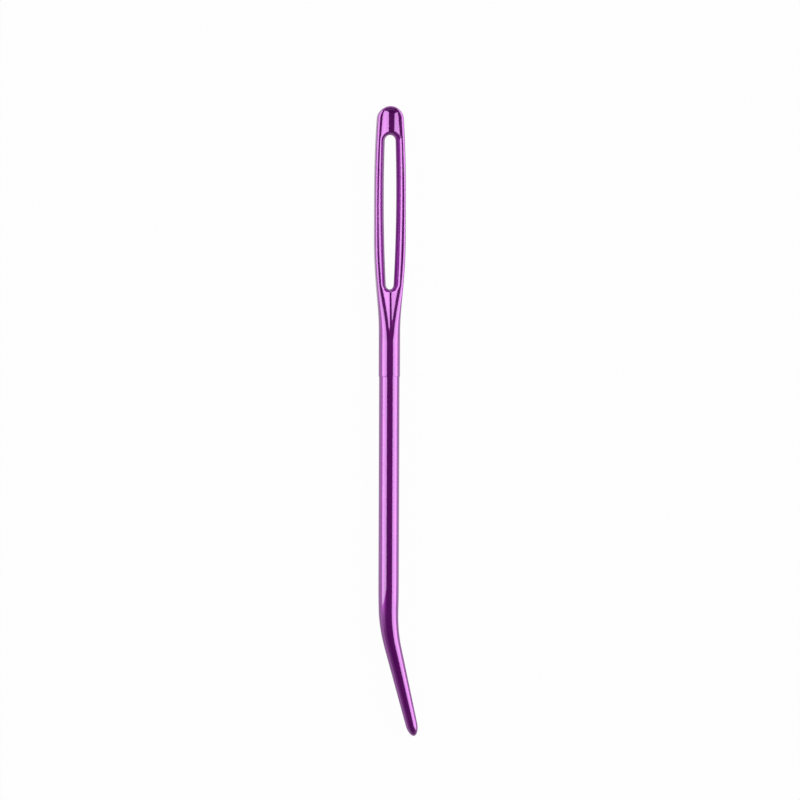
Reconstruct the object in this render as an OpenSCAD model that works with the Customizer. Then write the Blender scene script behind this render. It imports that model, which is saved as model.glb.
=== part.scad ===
// Large-eye yarn needle, made from one piece of round aluminium wire.
// The head is stamped flat, guttered on both faces and pierced by a long eye.
// The other end tapers, bends to one side and ends in a round, blunt tip.
// All shapes are given by their distance u from the top of the head, in millimetres.

/* [Wire] */
// Diameter of the round shank
wire_d = 2.56; // [2:0.02:3.2]
// From the top of the head to the die line, where the stamped neck meets the round shank
die_line = 33.8; // [33:0.1:45]
// How much wider than the shank the stamped neck is
neck_flash = 0.11; // [0.04:0.01:0.3]

/* [Head] */
// Width of the head at its widest
head_w = 3.9; // [3.6:0.02:4.6]
// Thickness of the head over its two rails
head_t = 2; // [1.6:0.05:2.6]
// Width that the sides of the head draw in towards at its top
top_w = 3.08; // [2.7:0.02:3.4]
// Length of the rounding at the top of the head
top_round = 1.5; // [1:0.05:2]
// From the top of the head to where it is widest
wide_at = 12.5; // [10:0.1:14]
// Length over which the head narrows to the neck
flare_l = 12; // [7:0.5:12]
// From the bottom of the eye to the end of that narrowing
neck_gap = 5.1; // [3:0.1:7]

/* [Eye] */
// Length of the eye
eye_l = 19.3; // [17:0.1:20]
// Width of the eye at its widest
eye_w = 1.59; // [1.4:0.01:1.8]
// From the top of the head to the top of the eye
eye_from = 3.6; // [3:0.1:5]
// Width of the eye near its top
eye_top_w = 1.38; // [1.2:0.02:1.6]
// Width of the eye near its bottom
eye_low_w = 1.02; // [0.8:0.02:1.4]
// Length of the rounding at the top of the eye
eye_top_round = 0.74; // [0.5:0.02:1]
// Length of the rounding at the bottom of the eye
eye_low_round = 0.7; // [0.4:0.05:1]
// Angle by which the walls of the eye lean back on each face
eye_draft = 29; // [15:1:32]
// Half the height of the narrowest part of the eye's wall, between its two slopes
eye_land = 0.1; // [0.06:0.01:0.14]
// How softly the edge of the eye is rounded
eye_soft = 0.35; // [0.1:0.05:0.4]

/* [Rails] */
// From the outline to the crest of a rail, where the head is widest
rim_w = 0.32; // [0.25:0.01:0.4]
// From the outline to the crest of the rim, beside the top of the eye
rim_end_w = 0.5; // [0.35:0.01:0.6]
// Width of the flat on top of a rail
rail_flat = 0.13; // [0.04:0.01:0.15]
// How steep the flanks of the rails are: 0.5 is an ellipse, and less is squarer
flank_power = 0.17; // [0.12:0.01:0.5]
// How softly the crests are rounded
crest_soft = 0.14; // [0.06:0.01:0.16]

/* [Gutter] */
// From the top of the head to the start of the gutter
gutter_from = 0.3; // [0.2:0.01:0.6]
// From the bottom of the eye to the point where the gutter runs out on the neck
gutter_run = 6.4; // [4.5:0.1:6.6]
// Slope of the gutter's sides
gutter_slope = 0.6; // [0.45:0.01:0.7]
// Radius of the gutter's floor above the eye
gutter_round = 0.6; // [0.4:0.05:0.8]
// Radius of the gutter's floor below the eye
gutter_low_round = 0.2; // [0.12:0.01:0.3]

/* [Nose] */
// From the top of the head to the corner of the bend
bend_at = 65.3; // [50:0.1:90]
// Angle that the nose is bent by
bend_angle = 13.8; // [5:0.1:40]
// Radius of the bend, on the middle of the wire
bend_r = 20.5; // [8:0.5:25]
// Length of the nose, from the corner of the bend to the tip
nose_l = 13.8; // [11:0.1:20]
// How far above the bend the taper starts
taper_lead = 4; // [1:0.1:8]
// Diameter just below the bend
nose_d = 2.06; // [1.7:0.01:2.2]
// Diameter where the round tip starts
tip_d = 1.47; // [1.1:0.01:1.7]
// Length of the round tip
tip_round = 1.5; // [0.8:0.1:2.4]

/* [Fineness] */
// Steps in a quarter turn of the wire and the neck
quarter = 12; // [8:1:16]
// Rows down each side of the eye
side_rows = 22; // [16:1:28]
// Steps round each half of the eye's top
fan_rows = 12; // [8:1:16]

/* [Hidden] */

// Places along the needle
eye_to = eye_from + eye_l;
neck_at = eye_to + neck_gap;
flare_at = neck_at - flare_l;
eye_wide_share = 0.39;
eye_wide_at = eye_from + eye_wide_share * eye_l;
fan_top = eye_from + eye_top_round;
fan_low = eye_to - eye_low_round;
// The skin round the eye ends here and the skin of the neck starts
seam_gap = 1.2;
seam = eye_to + seam_gap;
// The gutter's floor narrows over this length, from the widest part of the head on
floor_turn_l = 8;
// The gutter starts to run out, and the metal to thicken, this far above the eye's bottom
run_lead = 0.6;
thick_lead = 1;
thick_l = 7;

// Sizes that follow from others
wire_r = wire_d / 2;
neck_w = wire_d + neck_flash;
run_l = gutter_run + run_lead;
// Powers that shape the sides above and below the widest part, and the gutter's upper end
side_curve = 2.5;
flare_curve = 1.25;
gutter_curve = 7;
// The power that makes a flank an ellipse, as it is on the round neck
ellipse_power = 0.5;
// Softness that the crests keep where the gutter runs out, as a share of crest_soft
low_soft = 0.4;
// The flat sides of a ring stand this little outside the round shank where they meet
ring_lift = 1.001;
ring_r = wire_r * ring_lift / cos(45 / quarter);

function mix(a, b, t) = a + (b - a) * t;
function ease(t) =
    let (s = min(max(t, 0), 1))
    s * s * (3 - 2 * s);
// Rises from 0 at an edge to 1 at the distance l from it, as a quarter ellipse
function round_off(d, l) = sqrt(max(1 - pow(1 - min(d / l, 1), 2), 0));
// The lower of two heights, with the ridge between them rounded
function soft_min(a, b, k) =
    let (near = max(k - abs(a - b), 0) / k)
    min(a, b) - near * near * k / 4;

// Half the width of the head and the neck, without the rounding of the top
function side(u) =
    u < wide_at
    ? mix(head_w, top_w, pow(1 - u / wide_at, side_curve)) / 2
    : mix(head_w, neck_w, ease(pow(max(u - flare_at, 0) / flare_l, flare_curve))) / 2;
function half_w(u) = side(u) * round_off(u, top_round);
// How far a point lies inside the outline
function inset(x, u) = side(u) * (1 - norm([x / side(u), 1 - min(u / top_round, 1)]));

// Half the width of the eye, without the rounding of its ends
function eye_side(u) =
    let (end_w = u < eye_wide_at ? eye_top_w : eye_low_w)
    let (span = u < eye_wide_at ? eye_wide_at - fan_top : fan_low - eye_wide_at)
    mix(eye_w, end_w, pow((u - eye_wide_at) / span, 2)) / 2;

// From the outline to the crest of a rail
function rim(u) = mix(rim_w, rim_end_w, abs(u - wide_at) / wide_at);
// Half the width of the gutter along the eye
function gutter_half(u) = side(u) - rim(u) - rail_flat;
// Roundness of the gutter's floor: wide above the eye, sharp below it
function floor_round(u) =
    mix(gutter_round, gutter_low_round, ease((u - wide_at) / floor_turn_l));
// 1 along the eye, 0 where the gutter has run out on the neck, and below 0 past that
function low_reach(u) = 1 - max(u - eye_to + run_lead, 0) / run_l;
// From the gutter's floor to its crests, as its sloping sides see it
function spread(u) =
    let (r = floor_round(u))
    let (top = pow(max(top_round - u, 0) / (top_round - gutter_from), gutter_curve))
    (norm([gutter_half(u), r]) - r) * (low_reach(u) - top);
// Width of the rounded flank, from the outline to the flat of the rail
function flank(u) =
    let (r = floor_round(u))
    let (left = sqrt(pow(max(spread(u), 0) + r, 2) - r * r) / gutter_half(u))
    side(u) - left * (side(u) - rim(u));
// Half the thickness over the crests, from the flat head to the round neck
function crest_h(u) = mix(head_t / 2, ring_r, ease((u - eye_to + thick_lead) / thick_l));

// Half the thickness of the metal at a point of the head or the neck
function metal(x, u) =
    let (h = crest_h(u), r = floor_round(u))
    let (lying = 1 - min(inset(x, u) / flank(max(u, top_round)), 1))
    let (power = mix(flank_power, ellipse_power, ease(1 - low_reach(u))))
    let (blank = h * pow(max(1 - lying * lying, 0), power))
    let (gutter = h + gutter_slope * (norm([x, r]) - r - spread(u)))
    soft_min(blank, gutter, crest_soft * mix(low_soft, 1, max(low_reach(u), 0)));
// The same cut down by the sloping wall of the eye, at the distance d from the eye
function walled(z, d) = soft_min(z, eye_land + d / tan(eye_draft), eye_soft);

// Rays down to the seam on each side, before those that end on the seam itself
corner_steps = 4;
fan_steps = corner_steps + quarter;
// Rays from the eye to the outline, clockwise from the top, as [eye point, outline point]
right_rays = [
    for (i = [0 : fan_rows])
        let (a = 90 * i / fan_rows)
        let (u = fan_top * (1 - cos(a)))
        [[eye_side(fan_top) * sin(a), fan_top - eye_top_round * cos(a)], [half_w(u), u]],
    for (i = [1 : side_rows])
        let (u = mix(fan_top, fan_low, i / side_rows))
        [[eye_side(u), u], [side(u), u]],
    for (i = [1 : fan_steps])
        let (a = 90 * i / fan_steps)
        let (u = mix(fan_low, seam, min(i / corner_steps, 1)))
        let (x = side(u) * cos(90 * max(i - corner_steps, 0) / quarter))
        [[eye_side(fan_low) * cos(a), fan_low + eye_low_round * sin(a)], [x, u]]
];
right_n = len(right_rays);
rays = concat(
    right_rays,
    [for (i = [right_n - 2 : -1 : 1]) [for (p = right_rays[i]) [-p[0], p[1]]]]
);
ray_n = len(rays);

// Places along a ray: the wall of the eye, its rounded edge, the gutter and the flank
edge_steps = 4;
floor_steps = 4;
flank_steps = 6;
row_n = 1 + edge_steps + floor_steps + flank_steps + 1;
// The edge of the eye and the flank each take at most this share of a ray
edge_share = 0.45;
flank_share = 0.5;
function places(l, wall_l, edge_l, flank_l) = [
    0,
    for (k = [0 : edge_steps - 1]) mix(wall_l, edge_l, k / edge_steps),
    for (k = [0 : floor_steps - 1]) mix(edge_l, l - flank_l, k / floor_steps),
    for (k = [0 : flank_steps]) l - flank_l * (1 - sin(90 * k / flank_steps))
];
function ray_points(ray, sign) =
    let (l = norm(ray[1] - ray[0]))
    let (u_mid = (ray[0][1] + ray[1][1]) / 2)
    let (flank_l = min(flank(min(u_mid, eye_to - run_lead)), flank_share * l))
    let (wall_h = metal(ray[0][0], ray[0][1]) - eye_land)
    let (edge_l = min((wall_h + eye_soft) * tan(eye_draft), l - flank_l, edge_share * l))
    let (wall_l = min((wall_h - eye_soft) * tan(eye_draft), edge_l / 2))
    [for (d = places(l, wall_l, edge_l, flank_l))
        let (p = ray[0] + (ray[1] - ray[0]) * d / l)
        [p[0], -p[1], sign * walled(metal(p[0], p[1]), d)]];

// Rings of the neck, from the seam to the die line
neck_steps = 16;
function neck_ring(u) = [
    for (i = [0 : 4 * quarter - 1])
        let (a = 90 * i / quarter)
        let (x = side(u) * cos(a))
        [x, -u, sign(sin(a)) * metal(x, u)]
];

module head() {
    upper = [for (ray = rays) each ray_points(ray, 1)];
    lower = [for (ray = rays) each ray_points(ray, -1)];
    neck = [for (i = [1 : neck_steps]) each neck_ring(mix(seam, die_line, i / neck_steps))];
    half = ray_n * row_n;
    ring_n = 4 * quarter;
    first = right_n - 1 - quarter;
    last = right_n - 1 + quarter;

    // Numbers of the points: the outline is shared by both faces, apart from the seam
    function over(i, k) = (i % ray_n) * row_n + k;
    function under(i, k) =
        k == row_n - 1 && (i % ray_n <= first || i % ray_n >= last)
        ? over(i, k)
        : half + over(i, k);
    function seam_point(a) =
        a <= 2 * quarter
        ? over(first + a, row_n - 1)
        : under(last - (a - 2 * quarter), row_n - 1);
    function neck_point(j, a) =
        j == 0
        ? seam_point(a % ring_n)
        : 2 * half + (j - 1) * ring_n + a % ring_n;

    faces = [
        for (i = [0 : ray_n - 1], k = [0 : row_n - 2]) each [
            [over(i, k), over(i + 1, k + 1), over(i + 1, k)],
            [over(i, k), over(i, k + 1), over(i + 1, k + 1)],
            [under(i, k), under(i + 1, k), under(i + 1, k + 1)],
            [under(i, k), under(i + 1, k + 1), under(i, k + 1)]
        ],
        for (i = [0 : ray_n - 1]) each [
            [over(i, 0), under(i + 1, 0), under(i, 0)],
            [over(i, 0), over(i + 1, 0), under(i + 1, 0)]
        ],
        for (j = [0 : neck_steps - 1], a = [0 : ring_n - 1]) each [
            [neck_point(j, a), neck_point(j + 1, a + 1), neck_point(j, a + 1)],
            [neck_point(j, a), neck_point(j + 1, a), neck_point(j + 1, a + 1)]
        ],
        [for (a = [ring_n - 1 : -1 : 0]) neck_point(neck_steps, a)]
    ];
    polyhedron(concat(upper, lower, neck), faces);
}

module shank() {
    translate([0, -die_line, 0])
        rotate([90, 0, 0])
            cylinder(h = taper_at - die_line, d = wire_d, $fn = 8 * quarter);
}

// The middle line of the nose, at the distance s from the start of the bend
bend_l = bend_r * bend_angle * PI / 180;
bend_start = bend_at - bend_r * tan(bend_angle / 2);
taper_at = bend_start - taper_lead;
nose_end = bend_l + nose_l - bend_r * tan(bend_angle / 2);
function turn_at(s) = min(max(s, 0), bend_l) / bend_r * 180 / PI;
function nose_line(s) =
    let (a = turn_at(s))
    let (past = max(s - bend_l, 0))
    [
        bend_r * (1 - cos(a)) + past * sin(a),
        bend_start + min(s, 0) + bend_r * sin(a) + past * cos(a)
    ];
function nose_r(s) =
    let (cone = mix(nose_d, tip_d, (s - bend_l) / (nose_end - tip_round - bend_l)) / 2)
    mix(ring_r, cone, ease((s + taper_lead) / (bend_l + taper_lead)))
    * round_off(nose_end - s, tip_round);
function nose_ring(s) =
    let (a = turn_at(s), c = nose_line(s), r = nose_r(s))
    [for (i = [0 : 4 * quarter - 1])
        let (b = 90 * i / quarter)
        [c[0] + r * cos(b) * cos(a), -c[1] + r * cos(b) * sin(a), r * sin(b)]];
lead_steps = 3;
bend_steps = 8;
cone_steps = 6;
tip_steps = 6;
nose_places = [
    for (i = [0 : lead_steps - 1]) mix(-taper_lead, 0, i / lead_steps),
    for (i = [0 : bend_steps - 1]) mix(0, bend_l, i / bend_steps),
    for (i = [0 : cone_steps - 1]) mix(bend_l, nose_end - tip_round, i / cone_steps),
    for (i = [0 : tip_steps - 1]) nose_end - tip_round * (1 - sin(90 * i / tip_steps))
];
tip_point = [nose_line(nose_end)[0], -nose_line(nose_end)[1], 0];
nose_points = concat([for (s = nose_places) each nose_ring(s)], [tip_point]);

module nose() {
    ring_n = 4 * quarter;
    ring_count = len(nose_places);
    tip = ring_count * ring_n;
    function at(j, a) = j * ring_n + a % ring_n;
    faces = [
        [for (a = [0 : ring_n - 1]) at(0, a)],
        for (j = [0 : ring_count - 2], a = [0 : ring_n - 1]) each [
            [at(j, a), at(j + 1, a + 1), at(j, a + 1)],
            [at(j, a), at(j + 1, a), at(j + 1, a + 1)]
        ],
        for (a = [0 : ring_n - 1]) [at(ring_count - 1, a), tip, at(ring_count - 1, a + 1)]
    ];
    polyhedron(nose_points, faces);
}

// The needle lies flat, head towards +Y, with the origin under the middle of its box
left = min(min([for (p = nose_points) p[0]]), -head_w / 2);
right = max(max([for (p = nose_points) p[0]]), head_w / 2);
bottom = min([for (p = nose_points) p[1]]);

module needle() {
    color("mediumorchid")
        translate([-(left + right) / 2, -bottom / 2, ring_r])
            union() {
                head();
                shank();
                nose();
            }
}

needle();
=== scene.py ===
# %% [markdown]
# # A large-eye yarn needle in purple anodised aluminium
# The real needle starts as a straight piece of polished round wire. One end is stamped flat,
# given a gutter on both faces and pierced by a long eye. The other end is drawn down to a
# taper and bent to one side. Last, the whole needle is polished and dyed in one bath.
# This lesson follows the same order: a plan of the flat blank, the stamping and the drawing in
# Geometry Nodes, the anodised finish, and a small white studio to look at it in.

import math
from types import SimpleNamespace

import bmesh
import bpy
import numpy as np
from mathutils import Matrix, Vector


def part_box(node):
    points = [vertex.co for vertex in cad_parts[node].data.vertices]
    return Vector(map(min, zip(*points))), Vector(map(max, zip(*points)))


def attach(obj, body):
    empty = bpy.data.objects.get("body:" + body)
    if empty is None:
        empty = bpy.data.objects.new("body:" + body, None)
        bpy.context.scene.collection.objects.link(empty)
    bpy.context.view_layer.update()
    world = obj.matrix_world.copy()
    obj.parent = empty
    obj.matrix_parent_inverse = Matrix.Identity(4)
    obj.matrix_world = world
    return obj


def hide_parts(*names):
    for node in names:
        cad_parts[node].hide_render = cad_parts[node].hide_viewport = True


PER_METRE = 1000.0  # millimetres in a metre, the unit of the frame
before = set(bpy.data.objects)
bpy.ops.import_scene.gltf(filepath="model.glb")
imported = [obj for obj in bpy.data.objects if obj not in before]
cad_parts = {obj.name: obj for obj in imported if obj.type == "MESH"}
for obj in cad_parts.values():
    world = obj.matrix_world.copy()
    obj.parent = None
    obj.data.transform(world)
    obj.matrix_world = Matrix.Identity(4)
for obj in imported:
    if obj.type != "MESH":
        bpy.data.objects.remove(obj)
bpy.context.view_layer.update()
scene = bpy.context.scene
scene.view_settings.view_transform = "Standard"
print("CAD nodes:", len(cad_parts))

# %% [markdown]
# ## One way to add a node, and sums that build nodes
# The stamping rule and the finish are both sums. Written as nodes by hand they would fill
# pages, so a tree is wrapped in a `Bench`, which adds any node in one call, and a socket is
# wrapped in an `Amount`, which can stand in an ordinary sum. `1 - amount / 3` then adds two
# Math nodes. The same class serves the shader and Geometry Nodes, since both have Math nodes.

# %% The bench
class Bench:
    """A node tree, with one method that adds any node."""

    def __init__(self, tree):
        self.tree = tree

    def node(self, kind, settings=None, values=None):
        """Add a node: its settings first, then the value or the link of each socket."""
        made = self.tree.nodes.new(kind)
        for name, setting in (settings or {}).items():
            if name == "stops":
                ramp = made.color_ramp
                while len(ramp.elements) < len(setting):
                    ramp.elements.new(1)
                for element, (place, colour) in zip(ramp.elements, setting):
                    element.position = place
                    element.color = colour
            else:
                setattr(made, name, setting)
        for key, value in (values or {}).items():
            if isinstance(value, Amount):
                value = value.socket
            if isinstance(value, bpy.types.NodeSocket):
                self.tree.links.new(value, made.inputs[key])
            else:
                made.inputs[key].default_value = value
        return made

    def math(self, operation, *values):
        """Add a Math node and give its result as an amount."""
        made = self.node("ShaderNodeMath", {"operation": operation}, dict(enumerate(values)))
        return Amount(self, made.outputs[0])


print("the bench adds any node in one call")

# %% The amount
class Amount:
    """A socket that can be used in ordinary sums."""

    def __init__(self, bench, socket):
        self.bench = bench
        self.socket = socket

    def __add__(self, other):
        return self.bench.math("ADD", self, other)

    __radd__ = __add__

    def __mul__(self, other):
        return self.bench.math("MULTIPLY", self, other)

    __rmul__ = __mul__

    def __sub__(self, other):
        return self.bench.math("SUBTRACT", self, other)

    def __rsub__(self, other):
        return self.bench.math("SUBTRACT", other, self)

    def __truediv__(self, other):
        return self.bench.math("DIVIDE", self, other)

    def __rtruediv__(self, other):
        return self.bench.math("DIVIDE", other, self)

    def __pow__(self, other):
        return self.bench.math("POWER", self, other)

    def __neg__(self):
        return self.bench.math("MULTIPLY", self, -1)

    def __abs__(self):
        return self.bench.math("ABSOLUTE", self)


reflected = [name for name in vars(Amount) if name.startswith("__r")]
print("reflected sums of an amount:", len(reflected))

# %% Helpers that take numbers as well as amounts
def either(operation, plain, *values):
    """A Math node where a value is an amount, and the plain sum where all are numbers."""
    for value in values:
        if isinstance(value, Amount):
            return value.bench.math(operation, *values)
    return plain(*values)


def least(a, b):
    return either("MINIMUM", np.minimum, a, b)


def most(a, b):
    return either("MAXIMUM", np.maximum, a, b)


def root(a):
    return either("SQRT", np.sqrt, a)


def sine(a):
    return either("SINE", np.sin, a)


def cosine(a):
    return either("COSINE", np.cos, a)


def tangent(a):
    return either("TANGENT", np.tan, a)


print("a plain number stays a number:", least(2, 3))

# %% Curves between two values
def square(a):
    return a * a


def mix(a, b, t):
    """Goes from a to b as t goes from 0 to 1."""
    return a + (b - a) * t


def ease(t):
    """Goes from 0 to 1 with a soft start and a soft end."""
    t = least(most(t, 0), 1)
    return t * t * (3 - 2 * t)


def round_off(d, l):
    """Rises from 0 at an edge to 1 at the distance l from it, as a quarter ellipse."""
    return root(most(1 - square(1 - least(d / l, 1)), 0))


def soft_least(a, b, k):
    """The lower of two heights, with the ridge between them rounded."""
    near = most(k - abs(a - b), 0) / k
    return least(a, b) - near * near * k / 4


print("ease at a quarter of the way:", ease(0.25))

# %% [markdown]
# ## The needle's sizes
# All sizes are in millimetres, as a toolmaker would note them, and places along the needle are
# measured from the top of the head. They are the sizes of the CAD part, so that the finer
# surface made here fits its box. A second list says how the curves of the stamping run
# between these sizes.

# %% The sizes
SIZES = SimpleNamespace(
    wire_radius=1.28,
    die_line=33.8,
    neck_flash=0.11,
    head_width=3.9,
    head_thickness=2.0,
    top_width=3.08,
    top_round=1.5,
    widest_at=12.5,
    flare_length=12.0,
    neck_gap=5.1,
    eye_length=19.3,
    eye_width=1.59,
    eye_from=3.6,
    eye_top_width=1.38,
    eye_low_width=1.02,
    eye_top_round=0.74,
    eye_low_round=0.7,
    eye_draft=29.0,
    eye_land=0.1,
    eye_soft=0.35,
    flank_power=0.17,
    rim_width=0.32,
    rail_flat=0.13,
    rim_end_width=0.5,
    gutter_from=0.3,
    gutter_run=6.4,
    gutter_slope=0.6,
    gutter_round=0.6,
    gutter_low_round=0.2,
    crest_soft=0.14,
    bend_at=65.3,
    bend_angle=13.8,
    bend_radius=20.5,
    nose_length=13.8,
    taper_lead=4.0,
    nose_width=2.06,
    tip_width=1.47,
    tip_round=1.5,
)
print("sizes named:", len(vars(SIZES)))

# %% How the curves run
SIDE_POWER = 2.5  # how late the sides start to narrow towards the top
FLARE_POWER = 1.25  # how late they start to narrow towards the neck
EYE_WIDEST = 0.39  # share of the eye above its widest place
FLOOR_TURN = 8  # length over which the gutter's floor grows sharp
RUN_LEAD = 0.6  # the gutter starts to run out this far above the eye's end
TOP_POWER = 7  # how late the gutter rises at the top of the head
THICK_LEAD = 1  # the metal starts to thicken this far above the eye's end
THICK_TURN = 7  # length over which it does
END_SOFT = 0.02  # how softly the crests close where the gutter ends
ELLIPSE_POWER = 0.5  # power at which a flank is part of an ellipse
LOW_SOFT = 0.4  # share of the crest's softness left at the die line
print("the flank's power goes from", SIZES.flank_power, "to", ELLIPSE_POWER)

# %% [markdown]
# ## The stamping rule
# A stamped head is a flat blank with rounded flanks and a gutter sunk into each face. The
# gutter has sloping sides and a rounded floor, and where it meets the flank it leaves a raised
# rail. Between the rails stands the eye, with walls that lean back. So the metal's height at
# any point is the lowest of three heights: the blank, rounded off towards its outline, the
# gutter, and the wall of the eye. Below the eye the gutter's floor is sharp, and this V runs
# out while the flat blank turns into round wire. The functions take numbers, to draw the
# plan, or amounts, to build the nodes.

# %% The outline of the head and the eye
def eye_to(n):
    return n.eye_from + n.eye_length


def side(u, n):
    """Half the width of the head and the neck, without the rounding of the top."""
    flare_at = eye_to(n) + n.neck_gap - n.flare_length
    above = mix(n.head_width, n.top_width, most(1 - u / n.widest_at, 0) ** SIDE_POWER)
    narrowing = ease((most(u - flare_at, 0) / n.flare_length) ** FLARE_POWER)
    return mix(above, 2 * n.wire_radius + n.neck_flash, narrowing) / 2


def eye_side(u, n):
    """Half the width of the eye, without the rounding of its ends."""
    widest = n.eye_from + EYE_WIDEST * n.eye_length
    above = most(widest - u, 0) / (widest - n.eye_from - n.eye_top_round)
    below = most(u - widest, 0) / (eye_to(n) - n.eye_low_round - widest)
    return (
        n.eye_width
        - square(above) * (n.eye_width - n.eye_top_width)
        - square(below) * (n.eye_width - n.eye_low_width)
    ) / 2


print(f"widest place of the head: {2 * side(SIZES.widest_at, SIZES):.2f} mm")
print(f"the eye ends at {eye_to(SIZES):.1f} mm")

# %% The rails and the gutter
def rim(u, n):
    """From the outline to the crest of a rail."""
    return mix(n.rim_width, n.rim_end_width, abs(u - n.widest_at) / n.widest_at)


def floor_round(u, n):
    """Roundness of the gutter's floor: wide above the eye, sharp below it."""
    return mix(n.gutter_round, n.gutter_low_round, ease((u - n.widest_at) / FLOOR_TURN))


def low_reach(u, n):
    """1 along the eye, 0 where the gutter has run out on the neck, and below 0 past that."""
    return 1 - most(u - eye_to(n) + RUN_LEAD, 0) / (n.gutter_run + RUN_LEAD)


def gutter_half(u, n):
    """Half the width of the gutter along the eye."""
    return side(u, n) - rim(u, n) - n.rail_flat


def spread(u, n):
    """Distance from the gutter's floor to its crests, as its sloping sides see it."""
    top = (most(n.top_round - u, 0) / (n.top_round - n.gutter_from)) ** TOP_POWER
    floor = floor_round(u, n)
    return (root(square(gutter_half(u, n)) + square(floor)) - floor) * (low_reach(u, n) - top)


def flank(u, n):
    """Width of the rounded flank, from the outline to the flat of the rail."""
    floor = floor_round(u, n)
    reach = most(spread(u, n), 0)
    left = root(square(reach + floor) - square(floor)) / gutter_half(u, n)
    return side(u, n) - left * reach / (reach + END_SOFT) * (side(u, n) - rim(u, n))


print(f"the flank is {flank(SIZES.widest_at, SIZES):.2f} mm wide where the head is widest")

# %% The height of the metal
def metal(x, u, n):
    """Half the thickness of the metal at the point x, u of the plan."""
    half_width = side(u, n)
    in_from_edge = half_width * (
        1 - root(square(x / half_width) + square(1 - least(u / n.top_round, 1)))
    )
    thickening = ease((u - eye_to(n) + THICK_LEAD) / THICK_TURN)
    crest = mix(n.head_thickness / 2, n.wire_radius, thickening)
    lying = 1 - least(in_from_edge / flank(most(u, n.top_round), n), 1)
    power = mix(n.flank_power, ELLIPSE_POWER, ease(1 - low_reach(u, n)))
    blank = crest * most(1 - square(lying), 0) ** power
    floor = floor_round(u, n)
    rise = root(square(x) + square(floor)) - floor
    gutter = crest + n.gutter_slope * (rise - spread(u, n))
    soft = n.crest_soft * mix(LOW_SOFT, 1, most(low_reach(u, n), 0))
    return soft_least(blank, gutter, soft)


def eye_slope(n):
    """Rise of the eye's wall for each millimetre away from the eye."""
    return 1 / tangent(n.eye_draft * math.pi / 180)


def with_eye_wall(height, from_eye, n):
    """The same height cut down by the sloping wall of the eye, with a rounded edge."""
    return soft_least(height, n.eye_land + from_eye * eye_slope(n), n.eye_soft)


for u in (2, 12.5, 20, 24, 28, 33.8):
    print(f"at {u} mm: half width {side(u, SIZES):.3f}, metal {metal(0, u, SIZES):.3f}")

# %% [markdown]
# ## The plan of the blank
# The plan is a flat sheet laid out the way the metal flows: rays run from the eye to the
# outline, with their points close together at the eye's edge and on the flank, where the
# surface turns quickly. Both faces get the same rays. Below the eye the rays end on a ring,
# and from there rings of the same count follow the neck, the shank and the nose to one point
# at the tip. The sheet stores where a point lies on the plan, which face it is on, how far
# from the eye it lies and whether it is on the wire. A grid of squares would be simpler, but
# its steps would show along every curved edge.

# %% How finely the sheet is divided
QUARTER = 36  # points in a quarter of a ring
RING = 4 * QUARTER
EYE_ROWS = 130  # rays along each side of the eye
TOP_FAN = 40  # rays round a quarter of its top
LOW_CORNER = 10  # rays from its lower end to the first ring
SEAM_GAP = 1.2  # from the eye to that ring
RAY_STEPS = (2, 9, 12, 14)  # on the eye's wall, its rounded edge, the flat, the flank
NECK_RINGS = 60
SHANK_RINGS = 24
NOSE_RINGS = 89
TIP_STEP = 4  # degrees between the rings of the tip
DIE_NEAR = 0.02  # rings stand this close to the die line,
DIE_NEXT = 0.05  # then here,
DIE_FAR = 0.3  # and only from here on at even steps
print("points in a ring:", RING)

# %% Places along the nose
def bend_parts(n):
    """Start, length and end of the bend's path, from the bend's radius and angle."""
    angle = math.radians(n.bend_angle)
    corner = n.bend_radius * math.tan(angle / 2)
    length = n.bend_radius * angle
    return n.bend_at - corner, length, length + n.nose_length - corner


bend_start, bend_length, nose_end = bend_parts(SIZES)
print(f"bend from {bend_start:.2f} mm, {bend_length:.2f} mm long; nose ends {nose_end:.2f} mm on")

# %% Rays of the head
def head_rays(n):
    """Eye point and outline point of each ray, clockwise from the top."""
    top = n.eye_from + n.eye_top_round
    low = eye_to(n) - n.eye_low_round
    seam = eye_to(n) + SEAM_GAP
    right = []
    for a in np.linspace(0, math.pi / 2, TOP_FAN + 1):
        u = top * (1 - math.cos(a))
        eye = (eye_side(top, n) * math.sin(a), top - n.eye_top_round * math.cos(a))
        right.append((eye, (side(u, n) * round_off(u, n.top_round), u)))
    for u in np.linspace(top, low, EYE_ROWS + 1)[1:]:
        right.append(((eye_side(u, n), u), (side(u, n), u)))
    for i in range(1, LOW_CORNER + QUARTER + 1):
        a = math.pi / 2 * i / (LOW_CORNER + QUARTER)
        u = mix(low, seam, min(i / LOW_CORNER, 1))
        x = side(u, n) * math.cos(math.pi / 2 * max(i - LOW_CORNER, 0) / QUARTER)
        eye = (eye_side(low, n) * math.cos(a), low + n.eye_low_round * math.sin(a))
        right.append((eye, (x, u)))
    left = [tuple((-x, u) for x, u in ray) for ray in right[-2:0:-1]]
    return np.array(right + left), len(right), seam


rays, right_count, seam = head_rays(SIZES)
print("rays round the eye:", len(rays), "- first ring of the neck at", round(seam, 2), "mm")

# %% Points of one face
FLANK_READ = 2.4  # the flank's width is read no lower than this above the eye's end
FLANK_SHARE = 0.5  # the flank takes at most this share of a ray
LEAST_WALL = 0.02  # least height of the eye's plain wall
EDGE_SHARE = 0.9  # the wall's rounded edge ends at this share of what the flank leaves


def along(length, wall, edge, flank_width):
    """Distances along a ray: the eye's wall, its rounded edge, the flat, and the flank."""
    steps = [np.arange(c) / c for c in RAY_STEPS]
    return np.concatenate([
        mix(0, wall, steps[0]),
        mix(wall, edge, steps[1]),
        mix(edge, length - flank_width, steps[2]),
        length - flank_width * (1 - np.sin(math.pi / 2 * np.append(steps[3], 1))),
    ])


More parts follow.
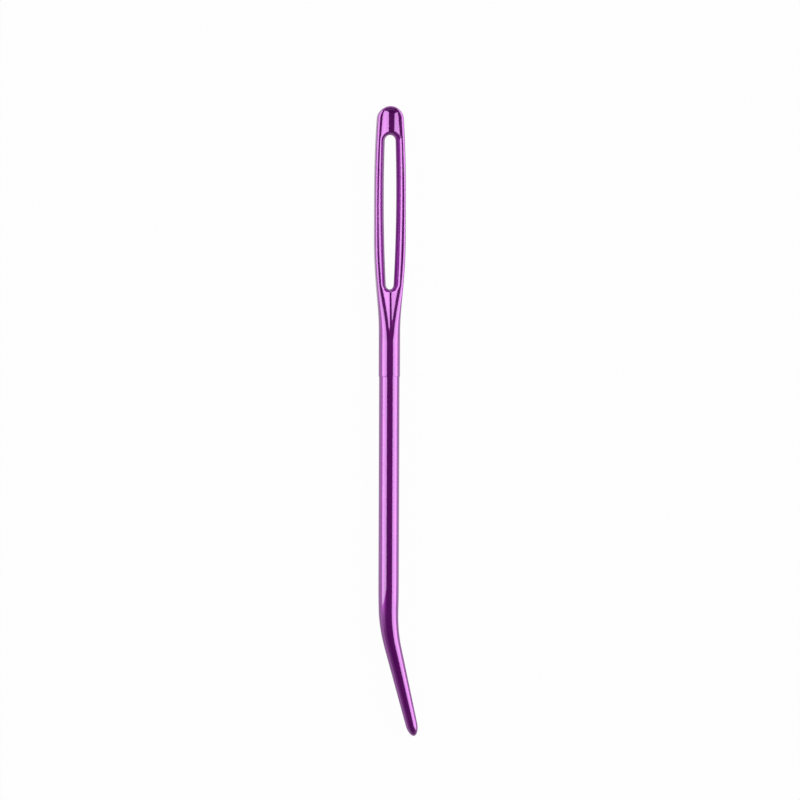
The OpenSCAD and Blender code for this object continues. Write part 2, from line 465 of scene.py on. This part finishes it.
def face_points(rays, n):
    """Plan points x, u and the distance from the eye, for each place on each ray."""
    points = []
    for eye, out in rays:
        length = math.dist(eye, out)
        middle = min((eye[1] + out[1]) / 2, eye_to(n) - FLANK_READ)
        flank_width = min(flank(middle, n), FLANK_SHARE * length)
        above_land = metal(eye[0], eye[1], n) - n.eye_land
        wall = max(above_land - n.eye_soft, LEAST_WALL) / eye_slope(n)
        edge = min((above_land + n.eye_soft) / eye_slope(n), EDGE_SHARE * (length - flank_width))
        d = along(length, min(wall, edge / 2), edge, flank_width)[:, None]
        points.append(np.hstack([eye + (out - eye) * d / length, d]))
    return np.array(points)


face = face_points(rays, SIZES)
print("points on one face of the head:", face.shape[0] * face.shape[1])

# %% Rings of the neck, the shank and the nose
die_line = SIZES.die_line
neck_rings = np.concatenate([
    np.linspace(seam, die_line - DIE_NEXT, NECK_RINGS + 1)[1:],
    [die_line - DIE_NEAR, die_line],
])
taper_at = bend_start - SIZES.taper_lead
tip_from = bend_start + nose_end - SIZES.tip_round
tip_turns = np.radians(np.arange(TIP_STEP, 90, TIP_STEP))
wire_rings = np.concatenate([
    [die_line + DIE_NEAR, die_line + DIE_NEXT],
    np.linspace(die_line + DIE_FAR, taper_at, SHANK_RINGS),
    np.linspace(taper_at, tip_from, NOSE_RINGS + 1)[1:],
    bend_start + nose_end - SIZES.tip_round * (1 - np.sin(tip_turns)),
])
print("rings on the neck:", len(neck_rings), "and on the wire:", len(wire_rings))

# %% Points of the whole sheet
FAR = 9.0  # distance from the eye noted for the rings, which its wall doesn't reach


def sheet_points(face, n):
    """Rows of x, y, side, distance from the eye, and 1 on the wire, with the tip last."""
    angles = np.radians(90 * np.arange(RING) / QUARTER)
    far = np.full(RING, FAR)
    x, u, gap = face.reshape(-1, 3).T
    rows = [np.column_stack([x, -u, np.full(len(x), s), gap, np.zeros(len(x))]) for s in (1, -1)]
    upper = np.sign(np.round(np.sin(angles), decimals=9))  # 1 above, -1 below, 0 on the outline
    for ring_u in neck_rings:
        width = side(ring_u, n) * np.cos(angles)
        rows.append(np.column_stack([width, np.full(RING, -ring_u), upper, far, np.zeros(RING)]))
    for ring_u in wire_rings:
        place = [np.cos(angles), np.full(RING, -ring_u), np.sin(angles)]
        rows.append(np.column_stack(place + [far, np.ones(RING)]))
    rows.append([[0, -bend_start - nose_end, 0, FAR, 1]])
    return np.vstack(rows)


points = sheet_points(face, SIZES)
print("points of the sheet:", len(points))

# %% Faces of the whole sheet
def sheet_faces(ray_count, row, ring_count):
    """Faces over and under the head, round the wall of the eye, and from ring to ring."""
    half = ray_count * row
    first = right_count - 1 - QUARTER
    last = right_count - 1 + QUARTER
    tip = 2 * half + ring_count * RING

    def over(i, k):
        """Point k of ray i on the upper face."""
        return (i % ray_count) * row + k

    def under(i, k):
        """The point below it, which is the same one where the faces meet at the outline."""
        i %= ray_count
        shared = k == row - 1 and not first < i < last
        return over(i, k) if shared else half + over(i, k)

    def in_ring(j, a):
        """Point a of ring j, where ring 0 is made of the ends of the lowest rays."""
        a %= RING
        if j:
            return 2 * half + (j - 1) * RING + a
        if a <= 2 * QUARTER:
            return over(first + a, row - 1)
        return under(last - (a - 2 * QUARTER), row - 1)

    faces = []
    for i in range(ray_count):
        faces.append((over(i, 0), over(i + 1, 0), under(i + 1, 0), under(i, 0)))
        for k in range(row - 1):
            for point, order in ((over, 1), (under, -1)):
                quad = (point(i, k), point(i, k + 1), point(i + 1, k + 1), point(i + 1, k))
                faces.append(quad[::order])
    for a in range(RING):
        for j in range(ring_count):
            quad = (in_ring(j, a), in_ring(j + 1, a), in_ring(j + 1, a + 1), in_ring(j, a + 1))
            faces.append(quad)
        faces.append((in_ring(ring_count, a), tip, in_ring(ring_count, a + 1)))
    return faces


faces = sheet_faces(face.shape[0], face.shape[1], len(neck_rings) + len(wire_rings))
print("faces of the sheet:", len(faces))

# %% The blank as one closed mesh
def plan_mesh(name, points, faces):
    """A mesh of the points that the faces use, with the two values that the tree reads."""
    used = np.unique(np.concatenate([np.array(f) for f in faces]))
    renumber = np.zeros(len(points), int)
    renumber[used] = np.arange(len(used))
    mesh = bpy.data.meshes.new(name)
    mesh.from_pydata(points[used, :3].tolist(), [], [[int(renumber[v]) for v in f] for f in faces])
    for label, column in (("from_eye", 3), ("on_wire", 4)):
        layer = mesh.attributes.new(label, "FLOAT", "POINT")
        layer.data.foreach_set("value", points[used, column].astype(np.float32))
    return mesh


blank = bpy.data.objects.new("blank", plan_mesh("blank", points, faces))
scene.collection.objects.link(blank)
print("blank:", len(blank.data.vertices), "points,", len(blank.data.polygons), "faces")

# %% [markdown]
# ## Stamping and drawing, in Geometry Nodes
# The tree is the tool set of the workshop. It lifts every point of the sheet to the height of
# the stamping rule, up on one face and down on the other. Then it draws the rings of the wire
# down to the taper and lays them along the bent path. All sizes are named inputs, so the head
# can be made thicker or the nose bent further without touching the sheet. Two masks are
# kept for the finish: where the needle rubs, and where it was stamped.

# %% The tree's inputs
def plain_name(key):
    """The name of a size as an input shows it."""
    return key.replace("_", " ").capitalize()


def new_input(name, kind):
    """Add a named input to the tree, and give the identifier that sets it."""
    return tree.interface.new_socket(name, in_out="INPUT", socket_type=kind).identifier


tree = bpy.data.node_groups.new("stamp_and_draw", "GeometryNodeTree")
tree.interface.new_socket("Geometry", in_out="OUTPUT", socket_type="NodeSocketGeometry")
new_input("Geometry", "NodeSocketGeometry")
size_ids = {key: new_input(plain_name(key), "NodeSocketFloat") for key in vars(SIZES)}
place_id = new_input("Place", "NodeSocketVector")
finish_id = new_input("Finish", "NodeSocketMaterial")
press = Bench(tree)
given = press.node("NodeGroupInput")
g = SimpleNamespace(**{key: Amount(press, given.outputs[plain_name(key)]) for key in size_ids})
print("inputs:", len(tree.interface.items_tree) - 1)

# %% Stamping
def read(label):
    """A value that the sheet stores for each point."""
    made = press.node("GeometryNodeInputNamedAttribute", {"data_type": "FLOAT"}, {"Name": label})
    return Amount(press, made.outputs["Attribute"])


def at(x, y, z):
    return press.node("ShaderNodeCombineXYZ", None, {"X": x, "Y": y, "Z": z}).outputs[0]


position = press.node("GeometryNodeInputPosition").outputs[0]
where = press.node("ShaderNodeSeparateXYZ", None, {0: position})
px, py, pz = (Amount(press, where.outputs[axis]) for axis in "XYZ")
u = -py
on_wire = read("on_wire")
height_here = with_eye_wall(metal(px, u, g), read("from_eye"), g)
stamping = press.node(
    "GeometryNodeSetPosition", None,
    {
        "Geometry": given.outputs["Geometry"],
        "Selection": press.math("LESS_THAN", on_wire, 0.5),
        "Position": at(px, py, pz * height_here),
    },
)
print("stamping rule takes", len(tree.nodes), "nodes")

# %% Drawing and bending
angle = g.bend_angle * math.pi / 180
corner = g.bend_radius * tangent(angle / 2)
start = g.bend_at - corner
length = g.bend_radius * angle
end = length + g.nose_length - corner
s = u - start
turn = least(most(s, 0), length) / g.bend_radius
past = most(s - length, 0)
line_x = g.bend_radius * (1 - cosine(turn)) + past * sine(turn)
line_u = start + least(s, 0) + g.bend_radius * sine(turn) + past * cosine(turn)
cone = mix(g.nose_width, g.tip_width, (s - length) / (end - g.tip_round - length)) / 2
drawn = mix(g.wire_radius, cone, ease((s + g.taper_lead) / (length + g.taper_lead)))
drawn = drawn * round_off(end - s, g.tip_round)
drawing = press.node(
    "GeometryNodeSetPosition", None,
    {
        "Geometry": stamping.outputs[0],
        "Selection": press.math("GREATER_THAN", on_wire, 0.5),
        "Position": at(
            line_x + px * drawn * cosine(turn),
            -line_u + px * drawn * sine(turn),
            pz * drawn,
        ),
    },
)
print("with the drawing it takes", len(tree.nodes), "nodes")

# %% Masks for the finish
CREST_RUB_TO = 27  # yarn rubs the crests down to here
CREST_RUB_FADE = 3
TIP_RUB = 4  # and the tip over this length
STAMP_LEAD = 6  # the stamped surface starts to fade this far above the die line
STAMP_FADE = 5


def keep(geometry, label, amount):
    """Store an amount on the points, for the finish to read."""
    made = press.node(
        "GeometryNodeStoreNamedAttribute", {"data_type": "FLOAT", "domain": "POINT"},
        {"Geometry": geometry, "Name": label, "Value": amount},
    )
    return made.outputs[0]


to_crest = abs(abs(px) - side(u, g) + flank(u, g)) / g.rim_width
above_neck = 1 - ease((u - CREST_RUB_TO) / CREST_RUB_FADE)
crest_rub = (1 - least(to_crest, 1)) * above_neck * (1 - on_wire)
tip_rub = on_wire * ease((u - g.bend_at - g.nose_length + TIP_RUB) / TIP_RUB)
fields = keep(stamping.outputs[0], "rubbed", most(crest_rub, tip_rub))
off_die_line = 1 - ease((u - g.die_line + STAMP_LEAD) / STAMP_FADE)
fields = keep(fields, "stamped", off_die_line * (1 - on_wire))
tree.links.new(fields, drawing.inputs["Geometry"])
print("with the masks it takes", len(tree.nodes), "nodes")

# %% Place and output
placed = press.node(
    "GeometryNodeTransform", None,
    {
        "Geometry": drawing.outputs[0],
        "Translation": given.outputs["Place"],
        "Scale": (1 / PER_METRE,) * 3,
    },
)
smooth = press.node("GeometryNodeSetShadeSmooth", None, {"Geometry": placed.outputs[0]})
real = press.node("GeometryNodeRealizeInstances", None, {0: smooth.outputs[0]})
dyed = press.node(
    "GeometryNodeSetMaterial", None,
    {"Geometry": real.outputs[0], "Material": given.outputs["Finish"]},
)
press.node("NodeGroupOutput", None, {0: dyed.outputs[0]})
print("tree complete:", len(tree.nodes), "nodes")

# %% [markdown]
# ## The anodised finish
# Anodising grows a clear, glassy oxide on polished aluminium and soaks it with dye. So the
# finish has two layers. The metal under the dye is a mostly metallic purple that is a little
# soft. The oxide on top is a thin, sharp coat that adds clean pale highlights. On the metal
# the dye is slightly uneven, fine lines run along the wire from drawing and polishing, tiny
# pits hold a little more dye, and the tip and the rails, which rub on yarn and fingers, are
# a shade paler. Each of these is one mask, and the masks feed colour, roughness and bump.

# %% Noise that follows the needle
finish = bpy.data.materials.new("anodised_purple")
finish.use_nodes = True
finish.node_tree.nodes.clear()
bath = Bench(finish.node_tree)
place = bath.node("ShaderNodeTexCoord").outputs["Object"]


def cloud(per_mm, along=1, detail=2.0, roughness=0.5):
    """Noise from 0 to 1, at so many lumps in a millimetre, and fewer along the needle."""
    squeeze = (PER_METRE, PER_METRE * along, PER_METRE)
    scaled = bath.node("ShaderNodeVectorMath", {"operation": "MULTIPLY"}, {0: place, 1: squeeze})
    made = bath.node(
        "ShaderNodeTexNoise", {"noise_dimensions": "3D"},
        {
            "Vector": scaled.outputs[0],
            "Scale": per_mm,
            "Detail": detail,
            "Roughness": roughness,
        },
    )
    return Amount(bath, made.outputs["Fac"])


def between(amount, low, high):
    """0 below the one value, 1 above the other, and soft between."""
    return ease((amount - low) / (high - low))


def stored(label):
    """A mask that the tree has kept on the points."""
    made = bath.node("ShaderNodeAttribute", {"attribute_name": label})
    return Amount(bath, made.outputs["Fac"])


print("noise and masks can be read")

# %% Masks for dye, lines, pits and rubbed places
dye = between(cloud(per_mm=0.5, along=0.35, detail=3), low=0.3, high=0.7)
lines = cloud(per_mm=14, along=0.018, detail=3, roughness=0.6)
fine_lines = cloud(per_mm=40, along=0.03, detail=2, roughness=0.6)
pits = between(cloud(per_mm=5.5, detail=1), low=0.73, high=0.78)
wear = stored("rubbed") * between(cloud(per_mm=2.2, along=0.4, detail=3), low=0.35, high=0.75)
waves = stored("stamped") * (cloud(per_mm=0.9, along=0.6, detail=1) - 0.5)
print("masks take", len(finish.node_tree.nodes), "nodes")

# %% Colour of the dyed metal
DEEP = (0.34, 0.012, 0.40, 1)
BRIGHT = (0.40, 0.022, 0.46, 1)
PALE = (0.48, 0.10, 0.53, 1)
DYE_SHARE = 0.6
LINE_SHARE = 0.25
WEAR_SHARE = 0.5
PIT_SHARE = 0.5


def blend(factor, a, b):
    """Mix two colours, each of which may be a link."""
    made = bath.node(
        "ShaderNodeMix", {"data_type": "RGBA"}, {"Factor": factor, 6: a, 7: b})
    return made.outputs[2]


colour = blend(dye * DYE_SHARE + lines * LINE_SHARE, DEEP, BRIGHT)
colour = blend(wear * WEAR_SHARE, colour, PALE)
colour = blend(pits * PIT_SHARE, colour, DEEP)
print("colour runs from", DEEP[:3], "to", BRIGHT[:3])

# %% Roughness of the metal
ROUGH = 0.17
LINE_ROUGH = 0.08
FINE_LINE_ROUGH = 0.05
PIT_ROUGH = 0.12
WEAR_ROUGH = 0.05
rough = ROUGH + (lines - 0.5) * LINE_ROUGH + (fine_lines - 0.5) * FINE_LINE_ROUGH
rough = rough + pits * PIT_ROUGH + wear * WEAR_ROUGH
print("plain roughness:", ROUGH)

# %% Bump, with its depths in millimetres
LINE_DEPTH = 0.0009
FINE_LINE_DEPTH = 0.0002
PIT_DEPTH = 0.002
WAVE_DEPTH = 0.012
line_height = (lines - 0.5) * LINE_DEPTH + (fine_lines - 0.5) * FINE_LINE_DEPTH
height = line_height - pits * PIT_DEPTH + waves * WAVE_DEPTH
bump = bath.node(
    "ShaderNodeBump", None, {"Strength": 1.0, "Distance": 1 / PER_METRE, "Height": height})
print("deepest mark:", WAVE_DEPTH, "mm")

# %% The surface
surface = bath.node(
    "ShaderNodeBsdfPrincipled", None,
    {
        "Base Color": colour,
        "Metallic": 0.6,
        "Roughness": rough,
        "Specular Tint": (0.4, 0.25, 0.4, 1),
        "Coat Weight": 1.0,
        "Coat Roughness": 0.03,
        "Coat IOR": 2.1,
        "Normal": bump.outputs[0],
    },
)
bath.node("ShaderNodeOutputMaterial", None, {"Surface": surface.outputs[0]})
print("finish has", len(finish.node_tree.nodes), "nodes")

# %% [markdown]
# ## Making the needle
# The modifier's inputs are set by their identifiers, because names can repeat. The place comes
# from the CAD box: its left edge is half a head's width left of the wire's middle, its far
# end is the top of the head, and the wire's middle lies halfway up. The evaluated object then
# becomes a plain mesh, and the blank goes, with its modifier.

# %% Run the tree and keep the mesh
tools = blank.modifiers.new("tools", "NODES")
tools.node_group = tree
for key, size in vars(SIZES).items():
    tools[size_ids[key]] = float(size)
cad_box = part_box("needle")
tools[place_id] = (
    cad_box[0].x + SIZES.head_width / 2 / PER_METRE,
    cad_box[1].y,
    (cad_box[0].z + cad_box[1].z) / 2,
)
tools[finish_id] = finish
evaluated = blank.evaluated_get(bpy.context.evaluated_depsgraph_get())
needle_mesh = bpy.data.meshes.new_from_object(evaluated)
needle_mesh.name = "needle_anodised"
needle = bpy.data.objects.new("needle_anodised", needle_mesh)
scene.collection.objects.link(needle)
bpy.data.objects.remove(blank)
print("needle:", len(needle_mesh.polygons), "faces")

# %% Turn its faces outwards and measure it
shell = bmesh.new()
shell.from_mesh(needle_mesh)
bmesh.ops.recalc_face_normals(shell, faces=shell.faces)
open_edges = sum(not edge.is_manifold for edge in shell.edges)
volume = shell.calc_volume() * PER_METRE ** 3
shell.to_mesh(needle_mesh)
shell.free()
print("open edges:", open_edges, "- volume:", round(volume, 1), "mm3")

# %% Hand the piece to the frame
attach(needle, "root")
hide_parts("needle")
print("needle rides on the one body")

# %% [markdown]
# ## A white table and two soft walls of light
# Polished metal shows its surroundings more than its own colour. The needle lies on a white
# table between two tall soft panels, with nothing bright overhead, so each side of the wire
# carries a pale stripe and a dark band runs down the middle. The left panel stops short of the
# nose's side, so the stripe fades where the nose turns away from it. The table's white comes
# from its own material, which still keeps a faint shadow, and not from stronger lamps. In the
# metal the same table looks grey, and a painted shade makes it darker beside the nose.

# %% The table
TABLE_SIZE = 4
CHALK = (0.85, 0.85, 0.85, 1)
WHITE = (1, 1, 1, 1)
WHITE_SHARE = 0.975  # how far the table shines white to the camera; the rest takes the shadow
MIRRORED = 0.45  # how far it does in the metal
# painted shade: seen in the metal, the table is darker beside the nose, as if it lay in shade
# there
MIRRORED_IN_PAINTED_SHADE = 0.15
PAINTED_SHADE_END = -0.031  # the darker part ends here, in metres along the needle
PAINTED_SHADE_FADE = 0.013

bpy.ops.mesh.primitive_plane_add(size=TABLE_SIZE)
table = bpy.context.object
table.name = "table"
print("table is", TABLE_SIZE, "m wide")

# %% Its white
paper = bpy.data.materials.new("white_table")
paper.use_nodes = True
paper.node_tree.nodes.clear()
sheet = Bench(paper.node_tree)
ray = sheet.node("ShaderNodeLightPath").outputs
mirrored = Amount(sheet, ray["Is Glossy Ray"]) + Amount(sheet, ray["Is Transmission Ray"])
table_place = sheet.node("ShaderNodeTexCoord").outputs["Object"]
spot = sheet.node("ShaderNodeSeparateXYZ", None, {0: table_place})
# painted shade in the table's reflection, darker where the table lies beside the nose
out_of_painted_shade = ease((Amount(sheet, spot.outputs["Y"]) - PAINTED_SHADE_END) / PAINTED_SHADE_FADE)
mirrored_with_painted_shade = mix(MIRRORED_IN_PAINTED_SHADE, MIRRORED, out_of_painted_shade)
shining = Amount(sheet, ray["Is Camera Ray"]) * WHITE_SHARE + mirrored * mirrored_with_painted_shade
chalk = sheet.node("ShaderNodeBsdfDiffuse", None, {"Color": CHALK})
white = sheet.node("ShaderNodeEmission", None, {"Color": WHITE, "Strength": 1.0})
mixed = sheet.node(
    "ShaderNodeMixShader", None, {0: shining, 1: chalk.outputs[0], 2: white.outputs[0]})
sheet.node("ShaderNodeOutputMaterial", None, {"Surface": mixed.outputs[0]})
table.data.materials.append(paper)
print("table laid")

# %% The sky
SKY = ((0.0, 0.8), (0.45, 0.6), (0.62, 0.2), (0.76, 0.02))  # z of a direction, and its grey
SKY_PAST_TIP = 0.25  # share of that light in the sky past the tip
SKY_FADE_FROM = -0.32
SKY_FADE = 0.3

world = bpy.data.worlds.new("studio")
scene.world = world
world.use_nodes = True
world.node_tree.nodes.clear()
sky = Bench(world.node_tree)
look = sky.node("ShaderNodeTexCoord").outputs["Generated"]
ways = sky.node("ShaderNodeSeparateXYZ", None, {0: look})
upward, headward = (Amount(sky, ways.outputs[axis]) for axis in "ZY")
stops = [(height, (shade, shade, shade, 1)) for height, shade in SKY]
shades = sky.node("ShaderNodeValToRGB", {"stops": stops}, {"Fac": upward})
strength = mix(SKY_PAST_TIP, 1, ease((headward - SKY_FADE_FROM) / SKY_FADE))
glow = sky.node("ShaderNodeBackground", None, {"Color": shades.outputs[0], "Strength": strength})
sky.node("ShaderNodeOutputWorld", None, {"Surface": glow.outputs[0]})
print("sky ready, with", len(SKY), "shades")

# %% The two panels
PANEL_AT = 0.6  # metres to each side of the needle
PANEL_END = 0.8  # both end this far beyond the head
RADIANCE = 2.0


def matrix_facing(up, back):
    """The turn of a lamp or camera whose own Y axis is up and whose back is back."""
    return Matrix((up.cross(back), up, back)).transposed()


def panel(name, x, y_from, low_angle, high_angle):
    """An upright soft panel that the needle sees between two heights, given in degrees."""
    low, high = (PANEL_AT * math.tan(math.radians(a)) for a in (low_angle, high_angle))
    lamp = bpy.data.lights.new(name, "AREA")
    lamp.shape = "RECTANGLE"
    lamp.size = PANEL_END - y_from
    lamp.size_y = high - low
    lamp.energy = RADIANCE * math.pi * lamp.size * lamp.size_y
    body = bpy.data.objects.new(name, lamp)
    scene.collection.objects.link(body)
    outwards = Vector((math.copysign(1, x), 0, 0))
    body.matrix_world = matrix_facing(Vector((0, 0, 1)), outwards).to_4x4()
    body.location = (x, (y_from + PANEL_END) / 2, (low + high) / 2)
    body.visible_camera = False
    print(f"{name}: {lamp.size:.2f} by {lamp.size_y:.2f} m, {lamp.energy:.2f} W")


panel("panel_right", PANEL_AT, y_from=-0.25, low_angle=2, high_angle=56.5)
panel("panel_left", -PANEL_AT, y_from=-0.075, low_angle=4.5, high_angle=57)

# %% [markdown]
# ## The camera
# The needle was photographed from above with a long lens, and a needle with a bent tip does
# not lie flat: it rolls until the tip touches the table. The camera therefore stands a few
# degrees to the left of straight above the head's flat, and the picture is 100 mm square.

# %% Aim the camera
ROLL = 7.0  # degrees to the left of straight above
LEAN = 0.2  # degrees by which the picture is turned
LENS = 200.0
PICTURE = 0.1
MIDDLE = Vector((0.475e-3, 2.64e-3, 1.28e-3))

camera_data = bpy.data.cameras.new("camera")
camera_data.lens = LENS
camera_data.clip_start = 0.01
camera_data.clip_end = 20
camera = bpy.data.objects.new("camera", camera_data)
scene.collection.objects.link(camera)
back = Vector((-math.sin(math.radians(ROLL)), 0, math.cos(math.radians(ROLL))))
lean = Matrix.Rotation(math.radians(LEAN), 3, "Z")
camera.matrix_world = (matrix_facing(Vector((0, 1, 0)), back) @ lean).to_4x4()
camera.location = MIDDLE + back * (PICTURE * LENS / camera_data.sensor_width)
scene.camera = camera
print("camera", [round(c, 3) for c in camera.location])
